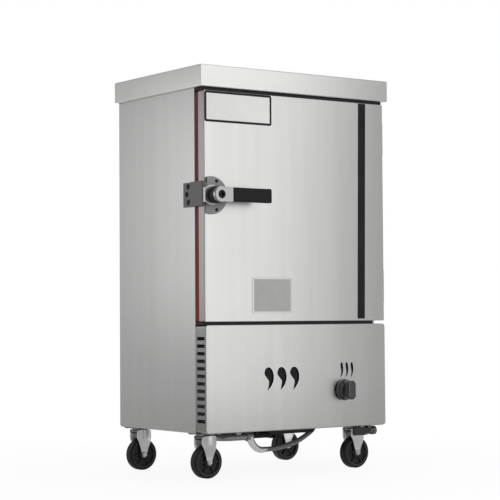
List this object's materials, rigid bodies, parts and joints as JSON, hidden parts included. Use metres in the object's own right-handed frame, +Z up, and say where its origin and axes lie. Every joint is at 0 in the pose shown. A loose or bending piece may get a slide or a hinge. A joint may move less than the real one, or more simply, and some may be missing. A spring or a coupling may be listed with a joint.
{
  "type": "food steamer",
  "caption": "Upright gas steaming cabinet on swivel casters, with a hinged front door, rotary latch, stacked trays over a water tank, and a lower panel with a gas knob.",
  "frame": {"origin": "on the floor, at the middle of the footprint of the whole box", "axes": "+X to the right as seen from the front, +Y to the back so that the door faces -Y, +Z up"},
  "size_m": [0.72, 0.6112, 1.2397],
  "materials": {
    "outer_steel": "satin",
    "inner_steel": "satin",
    "chrome": "polished",
    "cast_grey": "satin",
    "iron": "matte",
    "brass": "satin",
    "black_plastic": "satin",
    "black_rubber": "matte",
    "red_rubber": "matte",
    "mineral_wool": "matte"
  },
  "bodies": {
    "cabinet": {"top_cover": "outer_steel", "left_side_panel": "outer_steel", "right_side_panel": "outer_steel", "back_panel": "outer_steel", "flue_outlet": "outer_steel", "front_frame": "outer_steel", "lower_front_panel": "outer_steel", "base_frame": "outer_steel", "float_box": "outer_steel", "gas_inlet_pipe": "outer_steel", "hinge_upper_body_leaf": "outer_steel", "hinge_lower_body_leaf": "outer_steel", "caster_front_left_plate": "outer_steel", "caster_front_right_plate": "outer_steel", "caster_rear_left_plate": "outer_steel", "caster_rear_right_plate": "outer_steel", "chamber_liner": "inner_steel", "rail_rack_left": "inner_steel", "rail_rack_right": "inner_steel", "water_tank": "inner_steel", "steam_plate": "inner_steel", "tray_1": "inner_steel", "tray_2": "inner_steel", "tray_3": "inner_steel", "tray_4": "inner_steel", "tray_5": "inner_steel", "tray_6": "inner_steel", "tray_7": "inner_steel", "tray_8": "inner_steel", "gas_hose": "chrome", "burner_feed_pipe": "chrome", "hinge_upper_pin": "chrome", "hinge_lower_pin": "chrome", "keeper": "cast_grey", "burner_cradle": "iron", "burner": "iron", "gas_valve": "brass", "drain_valve": "brass", "insulation_jacket": "mineral_wool"},
    "door": {"door_shell": "outer_steel", "door_inner_panel": "inner_steel", "door_gasket": "red_rubber", "hinge_upper_door_leaf": "outer_steel", "hinge_lower_door_leaf": "outer_steel", "latch_base": "cast_grey", "latch_bolt": "black_plastic"},
    "latch": {"latch_lever": "chrome", "latch_grip": "black_plastic"},
    "valve_push": {"valve_spindle": "brass"},
    "knob": {"gas_knob": "black_plastic"},
    "drain_handle": {"drain_lever": "black_plastic"},
    "front_left_fork": {"caster_front_left_fork": "chrome"},
    "front_left_wheel": {"caster_front_left_wheel": "black_rubber"},
    "front_right_fork": {"caster_front_right_fork": "chrome"},
    "front_right_wheel": {"caster_front_right_wheel": "black_rubber"},
    "rear_left_fork": {"caster_rear_left_fork": "chrome"},
    "rear_left_wheel": {"caster_rear_left_wheel": "black_rubber"},
    "rear_right_fork": {"caster_rear_right_fork": "chrome"},
    "rear_right_wheel": {"caster_rear_right_wheel": "black_rubber"}
  },
  "joints": [
    {"name": "door_swing", "type": "hinge", "parent": "cabinet", "child": "door", "pos_m": [0.3523, -0.19875, 0.4705], "axis": [0, 0, 1], "range_deg": [0, 170]},
    {"name": "latch_turn", "type": "hinge", "parent": "door", "child": "latch", "pos_m": [-0.322, -0.3032, 0.84818], "axis": [0, 1, 0], "range_deg": [0, 90]},
    {"name": "knob_push", "type": "slide", "parent": "cabinet", "child": "valve_push", "axis": [0, 1, 0], "range_m": [0, 0.004], "stiffness_N_per_m": 400},
    {"name": "knob_turn", "type": "hinge", "parent": "valve_push", "child": "knob", "pos_m": [0.173, -0.2514, 0.2548], "axis": [0, -1, 0], "range_deg": [0, 180]},
    {"name": "drain_turn", "type": "hinge", "parent": "cabinet", "child": "drain_handle", "pos_m": [0.288, -0.2427, 0.1218], "axis": [0, -1, 0], "range_deg": [0, 90]},
    {"name": "front_left_swivel", "type": "hinge", "parent": "cabinet", "child": "front_left_fork", "pos_m": [-0.299, -0.1717, 0.102], "axis": [0, 0, 1], "continuous": true},
    {"name": "front_left_roll", "type": "hinge", "parent": "front_left_fork", "child": "front_left_wheel", "pos_m": [-0.296, -0.1717, 0.05], "axis": [0, 1, 0], "continuous": true},
    {"name": "front_right_swivel", "type": "hinge", "parent": "cabinet", "child": "front_right_fork", "pos_m": [0.271, -0.1717, 0.102], "axis": [0, 0, 1], "continuous": true},
    {"name": "front_right_roll", "type": "hinge", "parent": "front_right_fork", "child": "front_right_wheel", "pos_m": [0.274, -0.1717, 0.05], "axis": [0, 1, 0], "continuous": true},
    {"name": "rear_left_swivel", "type": "hinge", "parent": "cabinet", "child": "rear_left_fork", "pos_m": [-0.299, 0.2, 0.102], "axis": [0, 0, 1], "continuous": true},
    {"name": "rear_left_roll", "type": "hinge", "parent": "rear_left_fork", "child": "rear_left_wheel", "pos_m": [-0.296, 0.2, 0.05], "axis": [0, 1, 0], "continuous": true},
    {"name": "rear_right_swivel", "type": "hinge", "parent": "cabinet", "child": "rear_right_fork", "pos_m": [0.271, 0.2, 0.102], "axis": [0, 0, 1], "continuous": true},
    {"name": "rear_right_roll", "type": "hinge", "parent": "rear_right_fork", "child": "rear_right_wheel", "pos_m": [0.274, 0.2, 0.05], "axis": [0, 1, 0], "continuous": true}
  ]
}
